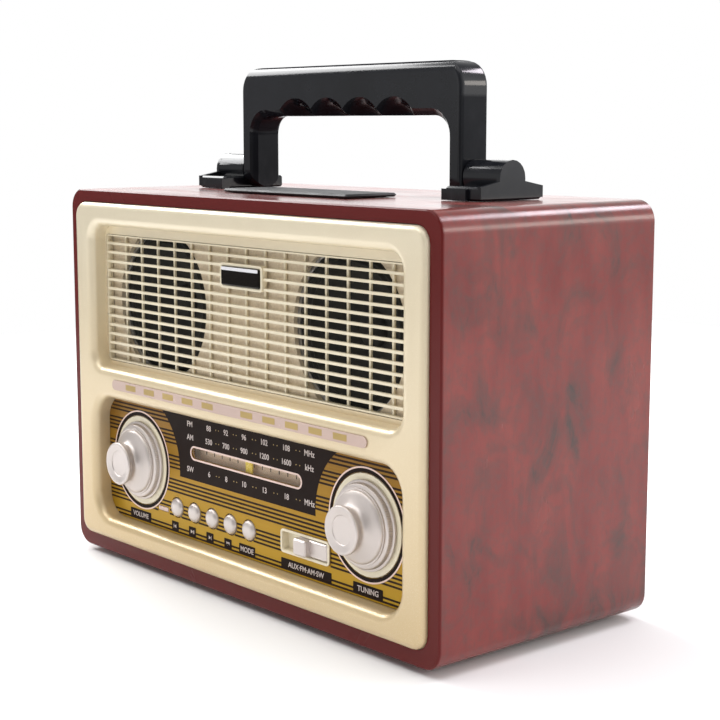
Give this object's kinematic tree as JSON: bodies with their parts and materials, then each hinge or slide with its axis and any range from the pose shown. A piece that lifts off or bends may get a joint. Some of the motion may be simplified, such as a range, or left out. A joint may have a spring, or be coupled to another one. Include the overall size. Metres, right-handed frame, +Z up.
{
  "type": "tabletop radio",
  "caption": "Retro tabletop radio: wood-wrapped box cabinet, bar grille over two speakers, recessed dial with two knobs and buttons, folding top handle.",
  "frame": {"origin": "centre of the overall footprint, on the surface that the four feet stand on", "axes": "+X to the right as seen from the front, +Y towards the back, +Z up; the knobs face -Y"},
  "size_m": [0.266, 0.1396, 0.239],
  "materials": {
    "wood_wrap": "glossy printed mahogany woodgrain over wood panel",
    "champagne_moulding": "satin champagne gold paint",
    "cream_plastic": "satin cream moulding",
    "beige_board": "painted fibreboard",
    "black_gloss": "high gloss black",
    "black_matt": "fine textured black",
    "paper_cone": "pressed black paper",
    "dial_gold": "metallic gold with printed scale",
    "clear_window": "clear polished",
    "lamp_lens": "translucent rose",
    "rose_print": "translucent rose strip with gold blocks",
    "pointer_yellow": "signal yellow",
    "chrome_trim": "polished chrome plating",
    "steel": "plain zinc plated",
    "spun_can": "plain drawn can",
    "circuit_board": "solder resist",
    "ferrite": "sintered, dull",
    "cord": "braided white cord",
    "foot_rubber": "moulded, dull",
    "cell_jacket": "printed steel jacket"
  },
  "bodies": {
    "cabinet": {"cabinet_shell": "wood_wrap", "foot_front_left": "foot_rubber", "foot_front_right": "foot_rubber", "foot_rear_left": "foot_rubber", "foot_rear_right": "foot_rubber", "front_panel": "champagne_moulding", "speaker_grille": "cream_plastic", "grille_lattice": "cream_plastic", "grille_badge": "black_gloss", "label_strip": "rose_print", "speaker_baffle": "beige_board", "left_speaker_basket": "steel", "right_speaker_basket": "steel", "left_speaker_cone": "paper_cone", "right_speaker_cone": "paper_cone", "dial_plate": "dial_gold", "dial_window": "clear_window", "power_lamp": "lamp_lens", "scale_backing": "cream_plastic", "dial_cord": "cord", "volume_knob_ring": "cream_plastic", "volume_control": "steel", "tuning_knob_ring": "cream_plastic", "tuning_capacitor": "spun_can", "button_board": "circuit_board", "band_switch_bezel": "cream_plastic", "band_switch_body": "steel", "main_board": "circuit_board", "ferrite_aerial": "ferrite", "mains_transformer": "steel", "right_handle_bracket": "black_gloss", "left_handle_bracket": "black_gloss", "right_handle_pin": "steel", "left_handle_pin": "steel", "top_plate": "black_matt", "rear_cover": "black_matt", "left_cell": "cell_jacket", "right_cell": "cell_jacket", "mains_inlet": "black_gloss", "cover_screw_low_left": "steel", "cover_screw_high_left": "steel", "cover_screw_low_right": "steel", "cover_screw_high_right": "steel"},
    "handle": {"handle": "black_gloss"},
    "volume": {"volume_knob": "chrome_trim", "volume_shaft": "steel"},
    "tuning": {"tuning_knob": "chrome_trim", "tuning_drum": "cream_plastic"},
    "pointer": {"dial_pointer": "pointer_yellow"},
    "pulley": {"idler_pulley": "cream_plastic"},
    "push_button_1": {"button_1": "chrome_trim"},
    "push_button_2": {"button_2": "chrome_trim"},
    "push_button_3": {"button_3": "chrome_trim"},
    "push_button_4": {"button_4": "chrome_trim"},
    "push_button_5": {"button_5": "chrome_trim"},
    "band_slider": {"band_switch_cap": "chrome_trim"},
    "battery_cover": {"battery_door": "black_matt"},
    "aerial_base": {"aerial_swivel": "chrome_trim"},
    "aerial_mast": {"aerial_outer": "chrome_trim"},
    "aerial_tip": {"aerial_inner": "chrome_trim"}
  },
  "joints": [
    {"name": "handle_fold", "type": "hinge", "parent": "cabinet", "child": "handle", "pos_m": [0, 0.0093, 0.19035], "axis": [-1, 0, 0], "range_deg": [0, 90]},
    {"name": "volume_turn", "type": "hinge", "parent": "cabinet", "child": "volume", "pos_m": [-0.0834, -0.06195, 0.0517], "axis": [0, 1, 0], "range_deg": [-140, 140]},
    {"name": "tuning_turn", "type": "hinge", "parent": "cabinet", "child": "tuning", "pos_m": [0.0834, -0.06195, 0.0517], "axis": [0, 1, 0], "range_deg": [-150, 150]},
    {"name": "pointer_slide", "type": "slide", "parent": "cabinet", "child": "pointer", "axis": [1, 0, 0], "range_m": [-0.0355, 0.0355]},
    {"name": "pulley_spin", "type": "hinge", "parent": "cabinet", "child": "pulley", "pos_m": [-0.06, -0.05175, 0.0601], "axis": [0, 1, 0], "range_deg": [-405, 405]},
    {"name": "button_1_press", "type": "slide", "parent": "cabinet", "child": "push_button_1", "axis": [0, 1, 0], "range_m": [0, 0.001], "stiffness_N_per_m": 800},
    {"name": "button_2_press", "type": "slide", "parent": "cabinet", "child": "push_button_2", "axis": [0, 1, 0], "range_m": [0, 0.001], "stiffness_N_per_m": 800},
    {"name": "button_3_press", "type": "slide", "parent": "cabinet", "child": "push_button_3", "axis": [0, 1, 0], "range_m": [0, 0.001], "stiffness_N_per_m": 800},
    {"name": "button_4_press", "type": "slide", "parent": "cabinet", "child": "push_button_4", "axis": [0, 1, 0], "range_m": [0, 0.001], "stiffness_N_per_m": 800},
    {"name": "button_5_press", "type": "slide", "parent": "cabinet", "child": "push_button_5", "axis": [0, 1, 0], "range_m": [0, 0.001], "stiffness_N_per_m": 800},
    {"name": "band_switch_slide", "type": "slide", "parent": "cabinet", "child": "band_slider", "axis": [-1, 0, 0], "range_m": [0, 0.009]},
    {"name": "battery_door_pull", "type": "slide", "parent": "cabinet", "child": "battery_cover", "axis": [0, 1, 0], "range_m": [0, 0.02]},
    {"name": "aerial_swing", "type": "hinge", "parent": "cabinet", "child": "aerial_base", "pos_m": [0.1, 0.06655, 0.163], "axis": [0, 1, 0], "range_deg": [0, 180]},
    {"name": "aerial_tilt", "type": "hinge", "parent": "aerial_base", "child": "aerial_mast", "pos_m": [0.1, 0.06655, 0.163], "axis": [0, 0, -1], "range_deg": [0, 90]},
    {"name": "aerial_extend", "type": "slide", "parent": "aerial_mast", "child": "aerial_tip", "axis": [-1, 0, 0], "range_m": [0, 0.15]}
  ],
  "couplings": [
    {"joint": "pointer_slide", "follows": "tuning_turn", "m_per_rad": 0.0134},
    {"joint": "pulley_spin", "follows": "tuning_turn", "ratio": 2.68}
  ]
}
